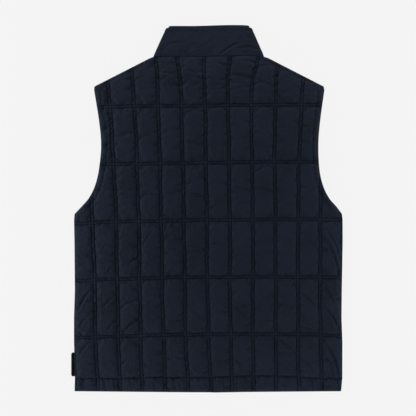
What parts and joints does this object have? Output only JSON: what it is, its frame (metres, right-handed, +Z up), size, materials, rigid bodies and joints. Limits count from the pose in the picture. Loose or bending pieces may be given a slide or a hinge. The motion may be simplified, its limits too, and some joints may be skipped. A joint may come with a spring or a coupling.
{
  "type": "quilted vest",
  "caption": "Sleeveless quilted vest with a stand collar and a front zip, laid face down and flat, showing its padded back stitched in tall rectangles.",
  "frame": {"origin": "middle of the whole vest's box, on the surface that it lies on", "axes": "+Z up from the surface to the vest's back, +Y from the hem to the collar, -X to the wearer's left"},
  "size_m": [0.5656, 0.7646, 0.0103],
  "materials": {
    "quilted_cloth": "matt dark navy plain-weave nylon, lightly crinkled",
    "collar_cloth": "matt dark navy plain-weave nylon",
    "zip_tape": "woven polyester tape, near black",
    "zip_teeth": "moulded acetal teeth, satin",
    "zip_metal": "dark plated zinc, satin",
    "woven_tab": "black woven tape, plain"
  },
  "bodies": {
    "vest": {"back_panel": "quilted_cloth", "front_left": "quilted_cloth", "front_right": "quilted_cloth", "collar": "collar_cloth", "zip_tape_left": "zip_tape", "zip_tape_right": "zip_tape", "zip_chain": "zip_teeth", "zip_bottom_box": "zip_teeth", "zip_stop_left": "zip_metal", "zip_stop_right": "zip_metal", "zip_slider": "zip_metal", "side_tab": "woven_tab"},
    "pull": {"zip_pull": "zip_metal"}
  },
  "joints": [
    {"name": "pull_swing", "type": "hinge", "parent": "vest", "child": "pull", "pos_m": [0.00297, 0.31352, 0.0017], "axis": [1, 0, 0], "range_deg": [0, 170]}
  ]
}
